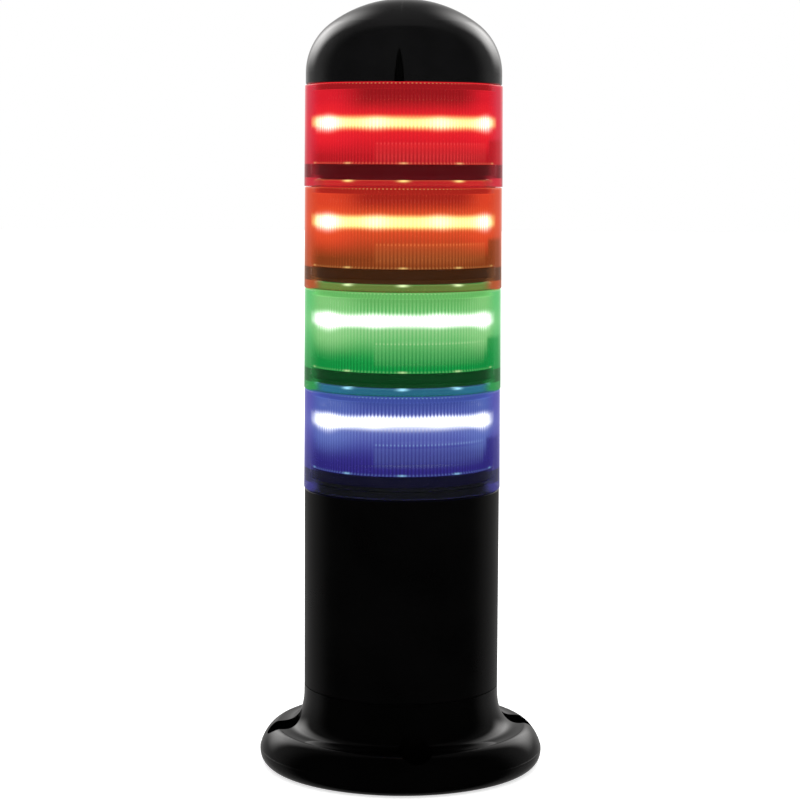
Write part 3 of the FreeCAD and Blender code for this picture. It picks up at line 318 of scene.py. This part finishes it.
# --------------------------------------------------------------------------
# the coloured light
# --------------------------------------------------------------------------
# low: the pure lens colour, far from the lamps; body: nearer the lamps;
# top: above them; halo: the flare round the bar; bar: the bar itself,
# brighter than white; edge: the thick wall seen on its side;
# lip: the collar lit from below; glint: sparks on moulded edges
LOOK = {
    "red": dict(low=srgb(186, 31, 38), body=srgb(220, 26, 40), top=srgb(150, 25, 29),
                flush=srgb(224, 31, 46), halo=srgb(236, 50, 44), bar=(3.0, 2.5, 0.85),
                side_low=srgb(184, 38, 54), side=srgb(192, 42, 64), edge=srgb(196, 112, 118),
                edge_low=srgb(172, 78, 88), lip=srgb(226, 34, 42), glint=srgb(255, 214, 140),
                skirt=srgb(160, 30, 44), skirt_a=0.10, band=srgb(66, 18, 26), bar_w=1.76,
                hot_w=0.62, halo_w=3.0, streak=0.10, lamp=22.1, row=0.8, row_c=srgb(250, 92, 88), drop=7.1),
    "amber": dict(low=srgb(138, 66, 30), body=srgb(214, 66, 38), top=srgb(168, 36, 30),
                  flush=srgb(226, 70, 42), halo=srgb(240, 100, 48), bar=(3.0, 2.55, 0.80),
                  side_low=srgb(166, 72, 35), side=srgb(206, 68, 43), edge=srgb(206, 124, 96),
                  edge_low=srgb(164, 104, 66), lip=srgb(180, 30, 34), glint=srgb(255, 222, 134),
                  skirt=srgb(128, 84, 44), skirt_a=0.10, band=srgb(64, 42, 24), bar_w=2.00,
                  hot_w=0.62, halo_w=3.6, streak=0.16, lamp=23.5, row=0.8, row_c=srgb(250, 150, 84), drop=7.2),
    "green": dict(low=srgb(16, 148, 68), body=srgb(116, 188, 108), top=srgb(110, 185, 102),
                  flush=srgb(136, 197, 124), halo=srgb(172, 214, 160), bar=(3.0, 3.3, 3.0),
                  side_low=srgb(44, 128, 66), side=srgb(96, 180, 108), edge=srgb(146, 204, 156),
                  edge_low=srgb(66, 150, 92), lip=srgb(88, 118, 54), glint=srgb(226, 250, 186),
                  skirt=srgb(40, 130, 66), skirt_a=0.09, band=srgb(30, 58, 34), bar_w=1.92,
                  hot_w=1.00, halo_w=6.4, streak=0.30, lamp=24.9, row=0.8, row_c=srgb(200, 230, 172), drop=6.9),
    "blue": dict(low=srgb(50, 43, 128), body=srgb(78, 92, 172), top=srgb(66, 84, 162),
                 flush=srgb(84, 106, 177), halo=srgb(128, 144, 204), bar=(3.0, 3.1, 3.3),
                 side_low=srgb(50, 48, 112), side=srgb(78, 78, 158), edge=srgb(108, 106, 176),
                 edge_low=srgb(74, 66, 150), lip=srgb(36, 88, 128), glint=srgb(160, 222, 250),
                 skirt=srgb(44, 50, 48), skirt_a=0.05, band=srgb(34, 37, 38), bar_w=1.96,
                 hot_w=1.02, halo_w=5.8, streak=0.24, lamp=25.2, row=0.8, row_c=srgb(150, 186, 232), drop=6.4),
}
GLOW = 3.6                       # strength that every lit material shares


def scaled(c, k):
    return tuple(v * k for v in c)


def glow_material(colour):
    """The frosted sleeve round the lamps: a white-hot bar at the row of LEDs,
    hottest in front of each, with its flare above and below."""
    look = LOOK[colour]
    mat, n = material(colour + "_frosted_sleeve")
    v, x, y, z = n.coords()
    h = n.sub(z, SEAM[colour])
    ax = n.m("ABSOLUTE", x)
    side = n.step(ax, 27.5, 30.0)
    # hot spots, four across the front and back and two on each side
    lamp = look["lamp"]
    inner = n.bell(ax, 11.4, 4.4)
    outer = n.bell(ax, 28.0, 3.7)
    hot = n.add(n.mul(inner, 0.35), n.m("MAXIMUM", outer, n.mul(side, 0.8)))
    drift = n.noise(v, 0.07, 2.0, 0.5)
    width = n.add(look["bar_w"], n.mul(hot, look["hot_w"]))
    centre = n.add(lamp, n.mul(n.sub(drift, 0.5), 0.8))
    bar = n.bell(h, centre, width, 3.0)
    wide = n.bell(h, centre, n.add(look["halo_w"], n.mul(hot, 2.2)), 1.8)
    fade = n.step(h, lamp - 12.5, lamp - 1.0)
    body = n.mix(fade, look["low"], look["body"])
    flush = n.mul(n.step(ax, 15.0, 27.0), 0.85)
    body = n.mix(n.mul(flush, n.step(h, lamp - 14.0, lamp - 4.0)), body, look["flush"])
    body = n.mix(n.step(h, lamp + 1.6, lamp + 8.0), body, n.mix(flush, look["top"], look["flush"]))
    base = n.mix(wide, body, look["halo"])
    # second, faint row where the lamps are mirrored in the ribs' feet
    second = n.mul(n.bell(h, lamp - 7.8, 0.7), n.mul(n.step(x, -10.0, 0.0), 0.30))
    base = n.mix(second, base, look["halo"])
    power = n.add(0.72, n.mul(hot, 0.28))
    core = n.mix(n.mul(hot, 0.8), look["bar"], (3.4, 3.4, 3.3))
    lit = n.mix(n.mul(bar, power), (0, 0, 0), core)
    total = n.mix(1.0, base, lit, "ADD")
    out = scaled_socket(n, total, 1.0 / GLOW)
    p = principled(n, Base_Color=scaled(look["low"], 0.3), Roughness=0.55, Emission_Color=out)
    p.inputs["Emission Strength"].default_value = GLOW
    return mat


def scaled_socket(n, socket, k):
    if k == 1.0:
        return socket
    return n.mix(1.0, socket, (k, k, k), "MULTIPLY")


def rib_wave(n, x, y, sharp=1.0):
    """1 on a rib's crest, 0 in the groove, in step with the ribs' mesh."""
    a = n.m("ARCTAN2", x, n.mul(y, -1.0))
    w = n.m("COSINE", n.mul(a, float(RIBS)))
    w = n.add(n.mul(w, 0.5), 0.5)
    if sharp != 1.0:
        w = n.m("POWER", w, sharp)
    return a, w


def lens_wall_material(colour):
    """The lens's smooth outside: nearly clear in front, deeper where the wall
    is seen on its side, with a glossy skin. Its foot and its top edge pick up
    a little of the light."""
    look = LOOK[colour]
    mat, n = material(colour + "_lens_wall")
    v, x, y, z = n.coords()
    h = n.sub(z, SEAM[colour])
    lw = n.node("ShaderNodeLayerWeight")
    lw.inputs["Blend"].default_value = 0.5
    face = lw.outputs["Facing"]
    a, w = rib_wave(n, x, y)
    drift = n.noise(v, 0.06, 3.0, 0.55)
    lamp = look["lamp"]
    # facing is 0 where the wall is met square on and 1 at its outline
    thick = n.step(face, 0.44, 0.70)
    rimmed = n.mul(n.step(face, 0.76, 0.93), 0.72)
    up = n.step(h, 6.0, lamp + 2.0)
    deep = n.mix(up, look["side_low"], look["side"])
    # the lamps' flare as it reaches the side of the wall
    flare = n.mul(n.bell(h, lamp, look["bar_w"] * 0.72, 2.0), n.step(face, 0.66, 0.48))
    deep = n.mix(n.mul(n.bell(h, lamp, 3.6, 2.0), n.step(face, 0.80, 0.50, 0.15, 0.45)), deep,
                 look["halo"])
    deep = n.mix(n.mul(flare, 0.8), deep, scaled(look["bar"], 0.36))
    pale = n.mix(up, look["edge_low"], look["edge"])
    # past the end of the lit ribs the light engine's end leaves a dark block
    block = n.mul(n.step(a, 0.87, 0.92), n.step(a, 1.36, 1.10))
    block = n.mul(block, n.step(h, lamp - 4.4, lamp - 6.8))
    deep = n.mix(n.mul(block, 0.80), deep, scaled(look["low"], 0.72))
    pale = n.mix(n.mul(block, 0.35), pale, scaled(look["low"], 0.72))
    # the dark band below the ribs, and below that the collar of the next lens
    below = n.step(h, 8.3, 7.6)
    hem_side = n.step(h, 3.5, 3.0)
    deep = n.mix(below, deep, look["band"])
    deep = n.mix(hem_side, deep, look["side_low"])
    pale = n.mix(n.mul(below, 0.45), pale, look["band"])
    colour_now = n.mix(rimmed, deep, pale)
    colour_now = n.mix(n.mul(below, n.sub(1.0, thick)), colour_now, look["skirt"])
    geo = n.node("ShaderNodeNewGeometry")
    nz = n.node("ShaderNodeSeparateXYZ")
    n.t.links.new(geo.outputs["True Normal"], nz.inputs[0])
    flat = n.step(n.m("ABSOLUTE", nz.outputs[2]), 0.30, 0.60)
    hem = n.mul(n.step(h, 0.75, 0.45), n.m("MAXIMUM", flat, n.step(face, 0.72, 0.52)))
    colour_now = n.mix(hem, colour_now, scaled(look["band"], 0.8))
    # sparks along the upper edge, one for each rib
    rim = n.mul(n.step(h, PITCH - 0.62, PITCH - 0.40), n.step(w, 0.40, 0.80))
    rim = n.mul(rim, n.add(0.14, n.mul(n.step(face, 0.42, 0.12), 0.50)))
    colour_now = n.mix(rim, colour_now, look["glint"])
    clear = n.mix(below, (0.06, 0.06, 0.06), (look["skirt_a"],) * 3)
    alpha = n.add(clear, n.mul(thick, n.sub(0.97, clear)))
    # the far side, seen from within, is where the colour gathers
    reach = n.m("SQRT", n.add(n.mul(x, x), n.mul(y, y)))
    far = n.mul(geo.outputs["Backfacing"], n.step(reach, 33.9, 34.3))
    far = n.mul(far, n.step(h, 7.4, 8.4))
    gathered = n.mix(n.step(h, 8.0, lamp), scaled(look["low"], 0.85), look["body"])
    gathered = n.mix(n.step(h, lamp + 2.0, 30.0), gathered, look["top"])
    colour_now = n.mix(far, colour_now, gathered)
    alpha = n.m("MAXIMUM", alpha, n.mul(far, 0.96))
    alpha = n.mix(hem, alpha, (0.30, 0.30, 0.30))
    alpha = n.add(alpha, n.mul(n.sub(drift, 0.5), 0.03))
    alpha = n.m("MAXIMUM", alpha, rim)
    p = principled(n, Base_Color=scaled(look["low"], 0.25), Roughness=0.07, Alpha=alpha,
                   Emission_Color=scaled_socket(n, colour_now, 1.0 / GLOW))
    p.inputs["Emission Strength"].default_value = GLOW
    p.inputs["Specular IOR Level"].default_value = 0.10
    n.put(p.inputs["Normal"], n.bump(n.mul(n.noise(v, 0.2, 2.0, 0.4), 0.01), 0.4, MM))
    return mat


def lens_rib_material(colour):
    """The ribbed inside of the lens. Crests let the lamps' image through,
    grooves hold the lens colour."""
    look = LOOK[colour]
    mat, n = material(colour + "_lens_ribs")
    v, x, y, z = n.coords()
    h = n.sub(z, SEAM[colour])
    a, w = rib_wave(n, x, y)
    lw = n.node("ShaderNodeLayerWeight")
    lw.inputs["Blend"].default_value = 0.5
    face = lw.outputs["Facing"]
    drift = n.noise(v, 0.05, 3.0, 0.6)
    groove = n.sub(1.0, w)
    low = n.mix(n.mul(groove, 0.66), look["low"], scaled(look["low"], 0.36))
    mid = n.mix(n.mul(groove, 0.62), look["body"], look["low"])
    top = n.mix(n.mul(groove, 0.62), look["top"], scaled(look["top"], 0.52))
    lamp = look["lamp"]
    ends = n.mul(n.step(n.m("ABSOLUTE", x), 15.0, 27.0), 0.8)
    top = n.mix(ends, top, look["flush"])
    mid = n.mix(n.mul(ends, 0.8), mid, look["flush"])
    col = n.mix(n.step(h, lamp - 13.0, lamp - 4.0), low, mid)
    col = n.mix(n.step(h, lamp + 2.0, lamp + 8.5), col, top)
    # the ribs near the lamps catch their light in fine upright streaks
    streak = n.mul(n.bell(h, lamp, 7.5, 2.2), n.mul(w, look["streak"]))
    col = n.mix(streak, col, look["halo"])
    onbar = n.mul(n.bell(h, lamp + 0.55, look["bar_w"] * 1.02, 4.0), 0.50)
    col = n.mix(onbar, col, scaled(look["bar"], 0.55))
    # a second, fainter row under the lamps and the lit ribs below it
    window = n.mul(n.step(a, -0.45, -0.41), n.step(a, 0.97, 0.93))
    row = n.mul(n.bell(h, lamp - look["drop"], 0.42), n.m("POWER", w, 1.6))
    veil = n.mul(n.step(h, lamp - 7.2, lamp - 7.8), n.step(h, lamp - 15.5, lamp - 11.0))
    veil = n.mul(veil, n.add(0.05, n.mul(w, 0.20)))
    row = n.mul(window, n.m("MAXIMUM", n.mul(row, look["row"]), veil))
    col = n.mix(row, col, look["row_c"])
    block = n.mul(n.step(a, 1.00, 1.04), n.step(a, 1.50, 1.30))
    block = n.mul(block, n.mul(n.step(h, lamp - 4.4, lamp - 6.8), n.step(h, 8.0, 9.0)))
    col = n.mix(n.mul(block, 0.80), col, scaled(look["low"], 0.72))
    # the line of light at the ribs' feet, and sparks round it
    foot = n.bell(h, 8.35, 0.32, 2.0)
    spark = n.m("POWER", n.add(n.mul(n.m("COSINE", n.mul(n.add(a, 0.122), 10.0)), 0.5), 0.5), 22.0)
    line = n.mul(foot, n.add(n.mul(w, 0.14), n.mul(spark, 0.62)))
    col = n.mix(line, col, look["glint"])
    comb = n.sub(0.32, n.mul(n.bell(h, lamp + 1.8, 2.2, 4.0), 0.09))
    alpha = n.add(0.34, n.mul(groove, comb))
    alpha = n.add(alpha, n.mul(n.step(h, 17.0, 11.0), 0.16))
    alpha = n.add(alpha, n.mul(n.step(h, 12.2, 10.4), 0.46))
    alpha = n.add(alpha, n.mul(n.step(h, 28.0, 30.2), 0.46))
    alpha = n.add(alpha, n.mul(n.mul(n.step(h, 26.0, 30.0), groove), 0.12))
    alpha = n.add(alpha, n.mul(n.step(face, 0.5, 0.85), 0.25))
    alpha = n.add(alpha, n.mul(n.sub(drift, 0.5), 0.10))
    alpha = n.m("MAXIMUM", alpha, line)
    alpha = n.m("MAXIMUM", alpha, n.mul(row, 0.9))
    alpha = n.m("MAXIMUM", alpha, n.mul(block, 0.85))
    # below the ribs' feet the wall is smooth and clear
    smooth = n.step(h, 7.9, 8.05)
    alpha = n.m("MINIMUM", n.mul(alpha, n.add(0.06, n.mul(smooth, 0.94))), 0.97)
    p = principled(n, Base_Color=scaled(look["low"], 0.25), Roughness=0.25, Alpha=alpha,
                   Emission_Color=scaled_socket(n, col, 1.0 / GLOW))
    p.inputs["Emission Strength"].default_value = GLOW
    p.inputs["Specular IOR Level"].default_value = 0.2
    return mat


def lens_collar_material(colour):
    """The collar that the next module locks onto, with the light that runs
    up inside it to its edges."""
    look = LOOK[colour]
    mat, n = material(colour + "_lens_collar")
    v, x, y, z = n.coords()
    h = n.sub(z, SEAM[colour] + PITCH)
    a, w = rib_wave(n, x, y)
    lw = n.node("ShaderNodeLayerWeight")
    lw.inputs["Blend"].default_value = 0.5
    face = lw.outputs["Facing"]
    col = n.mix(n.step(face, 0.10, 0.30), look["lip"], scaled(look["lip"], 1.25))
    col = n.mix(n.step(face, 0.45, 0.8), col, scaled(look["low"], 0.8))
    lines = n.m("MAXIMUM", n.bell(h, 2.45, 0.16), n.mul(n.bell(h, 1.25, 0.12), 0.35))
    spark = n.m("POWER", n.add(n.mul(n.m("COSINE", n.mul(n.add(a, 0.122), 10.0)), 0.5), 0.5), 13.0)
    hot = n.mul(n.bell(h, 2.35, 0.42), spark)
    col = n.mix(n.mul(lines, 0.08), col, look["glint"])
    col = n.mix(hot, col, scaled(look["glint"], 1.5))
    under = n.mix(n.mul(n.sub(1.0, w), 0.35), look["top"], scaled(look["top"], 0.62))
    col = n.mix(n.step(h, 0.02, -0.12), col, under)
    p = principled(n, Base_Color=scaled(look["low"], 0.2), Roughness=0.2, Alpha=0.94,
                   Emission_Color=scaled_socket(n, col, 1.0 / GLOW))
    p.inputs["Emission Strength"].default_value = GLOW
    p.inputs["Specular IOR Level"].default_value = 0.12
    return mat


def led_material(colour):
    look = LOOK[colour]
    mat, n = material(colour + "_led")
    v, x, y, z = n.coords()
    d = n.noise(v, 1.2, 2.0, 0.5)
    col = n.mix(d, (0.8, 0.8, 0.8), scaled(look["bar"], 1.0 / 3.0))
    p = principled(n, Base_Color=(0.8, 0.8, 0.78), Roughness=0.3, Emission_Color=col)
    p.inputs["Emission Strength"].default_value = GLOW
    return mat


# --------------------------------------------------------------------------
# mesh helpers
# --------------------------------------------------------------------------
def mesh_object(name, verts, faces, mats, index=None, smooth=True):
    me = bpy.data.meshes.new(name)
    me.from_pydata([(x * MM, y * MM, z * MM) for x, y, z in verts], [], faces)
    me.update()
    ob = bpy.data.objects.new(name, me)
    scene.collection.objects.link(ob)
    for m in mats:
        me.materials.append(m)
    if index is not None:
        me.polygons.foreach_set("material_index", index)
    me.polygons.foreach_set("use_smooth", [smooth] * len(me.polygons))
    me.validate()
    return ob


def sharpen(ob, angle):
    """Smooth shading with hard edges where faces meet at more than angle."""
    me = ob.data
    me.polygons.foreach_set("use_smooth", [True] * len(me.polygons))
    for o in bpy.context.selected_objects:
        o.select_set(False)
    ob.select_set(True)
    bpy.context.view_layer.objects.active = ob
    me.set_sharp_from_angle(angle=math.radians(angle))


def lathe(name, rings, steps, mats, closed=True):
    """rings: list of (radius function or number, height, material of the band
    that follows). Bearing 0 is -Y and it grows towards +X."""
    verts, faces, index = [], [], []
    count = len(rings)
    for r, h, _ in rings:
        for k in range(steps):
            a = 2.0 * math.pi * k / steps
            rad = r(a, k) if callable(r) else r
            verts.append((rad * math.sin(a), -rad * math.cos(a), h))
    bands = count if closed else count - 1
    for i in range(bands):
        j = (i + 1) % count
        for k in range(steps):
            l = (k + 1) % steps
            faces.append((i * steps + k, i * steps + l, j * steps + l, j * steps + k))
            index.append(rings[i][2])
    ob = mesh_object(name, verts, faces, mats, index)
    return ob


# --------------------------------------------------------------------------
# the lenses
# --------------------------------------------------------------------------
SLOTS = (0.0, 120.0, 240.0)


def slot_depth(a):
    """How far the collar's face steps back at an entry slot."""
    d = math.degrees(a) % 360.0
    half = 6.5
    for s in SLOTS:
        e = abs((d - s + 180.0) % 360.0 - 180.0)
        if e < half:
            return 0.55
    return 0.0


def build_lens(colour):
    z0 = SEAM[colour]
    steps = RIBS * 6

    def rib(crest, groove):
        def radius(a, k):
            t = 0.5 + 0.5 * math.cos(a * RIBS)
            return groove - (groove - crest) * t
        return radius

    def collar(r):
        return lambda a, k: r - slot_depth(a)

    WALL, RIB, COL = 0, 1, 2
    deep, shallow = rib(32.15, 32.72), rib(32.62, 32.72)
    rings = [
        (33.45, 0.15, WALL), (34.88, 0.15, WALL), (35.04, 0.24, WALL), (35.10, 0.42, WALL),
        (35.09, 1.2, WALL), (35.02, 11.0, WALL), (34.95, 22.0, WALL), (34.87, 34.6, WALL),
        (34.86, 35.2, WALL), (34.80, 35.42, WALL), (34.62, 35.55, COL),
        (32.90, 35.55, COL), (collar(32.66), 35.60, COL), (collar(32.60), 35.78, COL),
        (collar(32.60), 38.10, COL), (32.45, 38.29, COL), (32.25, 38.35, COL),
        (29.95, 38.35, COL), (29.72, 38.20, COL), (29.72, 37.05, COL), (31.15, 36.90, COL),
        (31.20, 36.60, COL), (31.20, 33.70, COL), (31.40, 33.55, COL), (32.05, 33.55, RIB),
        (shallow, 33.35, RIB), (deep, 33.00, RIB), (deep, 22.4, RIB), (deep, 8.75, RIB),
        (shallow, 8.25, RIB), (32.72, 8.02, RIB), (32.74, 4.45, RIB), (33.25, 4.20, WALL),
        (33.30, 3.90, WALL), (33.32, 0.32, WALL),
    ]
    rings = [(r, z0 + h, m) for r, h, m in rings]
    mats = [lens_wall_material(colour), lens_rib_material(colour), lens_collar_material(colour)]
    ob = lathe(colour + "_lens_ribbed", rings, steps, mats)
    sharpen(ob, 40.0)
    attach(ob, colour + "_module")
    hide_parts(colour + "_lens")
    return ob


def build_sleeve(colour):
    """The frosted sleeve that stands round the lamps: rounded oblong, thin wall."""
    lo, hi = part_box(colour + "_diffuser")
    z0 = SEAM[colour]
    half, deep, low, high = 31.0, 14.0, z0 + 9.6, z0 + 30.2
    wall, corner, steps = 1.0, 9.0, 14

    def outline(u, v, r):
        pts = []
        for cx, cy, start in ((u - r, -v + r, -90), (u - r, v - r, 0),
                              (-u + r, v - r, 90), (-u + r, -v + r, 180)):
            for k in range(steps + 1):
                t = math.radians(start + 90.0 * k / steps)
                pts.append((cx + r * math.cos(t), cy + r * math.sin(t)))
        return pts

    levels = [(0.0, low + 0.25), (0.25, low), (wall - 0.25, low), (wall, low + 0.25),
              (wall, high - 0.25), (wall - 0.25, high), (0.25, high), (0.0, high - 0.25)]
    levels += [(0.0, low + (high - low) * f) for f in (0.75, 0.5, 0.25)]
    verts, faces = [], []
    rings = []
    for inset, h in levels:
        ring = outline(half - inset, deep - inset, corner - inset)
        rings.append(len(verts))
        verts += [(px, py, h) for px, py in ring]
    count = len(ring)
    for i in range(len(rings)):
        a, b = rings[i], rings[(i + 1) % len(rings)]
        for k in range(count):
            l = (k + 1) % count
            faces.append((a + l, a + k, b + k, b + l))
    ob = mesh_object(colour + "_light_sleeve", verts, faces, [glow_material(colour)])
    sharpen(ob, 35.0)
    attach(ob, colour + "_module")
    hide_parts(colour + "_diffuser")
    return ob


for _c in COLOURS:
    build_lens(_c)
    build_sleeve(_c)


# --------------------------------------------------------------------------
# materials of the pieces that come from the frame
# --------------------------------------------------------------------------
record = frame["record"]
SLOT_OF = {}
for sp in record["subparts"]:
    SLOT_OF[sp.get("node", sp.get("name"))] = sp.get("material_slot")

for name, ob in NODES.items():
    parts = name.split("_")
    if parts[0] in COLOURS and parts[-1] in ("lens", "diffuser"):
        continue
    colour = parts[0] if parts[0] in COLOURS else None
    if name == "cap_dome":
        mat = MAT["dome_black"]
    elif name.endswith("_leds"):
        mat = led_material(colour)
    else:
        mat = None
        for m in ob.data.materials:
            if m is not None and m.name.split(".")[0] in MAT:
                mat = MAT[m.name.split(".")[0]]
        if mat is None:
            mat = MAT.get(SLOT_OF.get(name), MAT["matte_black"])
            print("slot by record", name, SLOT_OF.get(name))
    ob.data.materials.clear()
    ob.data.materials.append(mat)


# --------------------------------------------------------------------------
# studio
# --------------------------------------------------------------------------
def studio_floor():
    steps, radius = 96, 6000.0
    verts = [(0, 0, -0.25)]
    faces = []
    rings = (60.0, 120.0, 400.0, 1500.0, radius)
    for r in rings:
        for k in range(steps):
            a = 2 * math.pi * k / steps
            verts.append((r * math.cos(a), r * math.sin(a), -0.25))
    for k in range(steps):
        faces.append((0, 1 + k, 1 + (k + 1) % steps))
    for i in range(len(rings) - 1):
        for k in range(steps):
            l = (k + 1) % steps
            faces.append((1 + i * steps + k, 1 + (i + 1) * steps + k,
                          1 + (i + 1) * steps + l, 1 + i * steps + l))
    mat, n = material("studio_floor")
    v, x, y, z = n.coords()
    p = principled(n, Base_Color=(0.82, 0.82, 0.82), Roughness=0.9,
                   Emission_Color=(1.0, 1.0, 1.0))
    p.inputs["Emission Strength"].default_value = 0.62
    p.inputs["Specular IOR Level"].default_value = 0.0
    ob = mesh_object("studio_floor", verts, faces, [mat])
    ob.visible_glossy = False


def studio_world():
    world = bpy.data.worlds.new("studio")
    scene.world = world
    world.use_nodes = True
    n = Net(world.node_tree)
    tc = n.node("ShaderNodeTexCoord")
    s = n.node("ShaderNodeSeparateXYZ")
    n.t.links.new(tc.outputs["Generated"], s.inputs[0])
    x, y, z = s.outputs
    right = n.add(n.mul(x, math.cos(VIEW)), n.mul(y, math.sin(VIEW)))
    front = n.add(n.mul(x, math.sin(VIEW)), n.mul(y, -math.cos(VIEW)))
    # two tall soft panels, left and right and a little behind the object
    flat = n.m("SQRT", n.add(n.add(n.mul(right, right), n.mul(front, front)), 0.0001))
    turn = n.m("DIVIDE", front, flat)
    panel = n.mul(n.step(turn, -0.56, -0.80), n.step(turn, -0.995, -0.90))
    rise = n.mul(n.step(z, 0.01, 0.43, 0.012, 1.0), n.step(z, 0.86, 0.38))
    broad = n.mul(n.step(turn, 0.0, -0.50), n.step(z, 0.85, 0.35, 0.03, 0.075))
    behind = n.mul(n.step(turn, -0.80, -0.99), n.step(z, 0.62, 0.12, 0.01, 0.27))
    behind = n.mul(behind, n.step(z, -0.10, 0.06, 0.25, 1.0))
    level = n.add(0.007, n.mul(n.add(n.mul(panel, rise), broad), 2.6))
    level = n.add(level, behind)
    soft = n.node("ShaderNodeBackground")
    n.put(soft.inputs["Color"], n.mix(1.0, (1.0, 0.985, 0.975), level, "MULTIPLY"))
    soft.inputs["Strength"].default_value = 1.0
    white = n.node("ShaderNodeBackground")
    white.inputs["Color"].default_value = (1, 1, 1, 1)
    white.inputs["Strength"].default_value = 1.0
    path = n.node("ShaderNodeLightPath")
    mixer = n.node("ShaderNodeMixShader")
    seen = n.m("MAXIMUM", path.outputs["Is Camera Ray"], path.outputs["Is Diffuse Ray"])
    n.t.links.new(seen, mixer.inputs[0])
    n.t.links.new(soft.outputs[0], mixer.inputs[1])
    n.t.links.new(white.outputs[0], mixer.inputs[2])
    out = n.node("ShaderNodeOutputWorld")
    n.t.links.new(mixer.outputs[0], out.inputs["Surface"])


def softbox(name, at, towards, size, power):
    light = bpy.data.lights.new(name, "AREA")
    light.shape = "RECTANGLE"
    light.size, light.size_y = size
    light.energy = power
    ob = bpy.data.objects.new(name, light)
    scene.collection.objects.link(ob)
    at, towards = Vector(at), Vector(towards)
    ob.matrix_world = Matrix.Translation(at) @ \
        (towards - at).to_track_quat("-Z", "Y").to_matrix().to_4x4()
    ob.visible_camera = False
    return ob


studio_floor()
studio_world()
top_light = softbox("overhead", (0.0, 0.1, 1.5), (0, 0, 0.1), (1.2, 1.2), 6.0)
top_light.visible_glossy = False


# --------------------------------------------------------------------------
# camera
# --------------------------------------------------------------------------
cam_data = bpy.data.cameras.new("camera")
cam_data.lens = 99.66
cam_data.sensor_width = 36.0
cam_data.shift_y = -0.0383
cam_data.shift_x = -0.0031
cam_data.clip_start, cam_data.clip_end = 0.05, 50.0
cam = bpy.data.objects.new("camera", cam_data)
scene.collection.objects.link(cam)
DIST, HEIGHT, PITCH_DOWN, ROLL = 0.7876, 0.2167, 5.41, 0.3
cam.matrix_world = (
    Matrix.Translation((math.sin(VIEW) * DIST, -math.cos(VIEW) * DIST, HEIGHT))
    @ Matrix.Rotation(VIEW, 4, "Z")
    @ Matrix.Rotation(math.radians(90.0 - PITCH_DOWN), 4, "X")
    @ Matrix.Rotation(math.radians(ROLL), 4, "Z"))
scene.camera = cam

scene.view_settings.view_transform = "Standard"
scene.cycles.transparent_max_bounces = 24
scene.cycles.max_bounces = 8
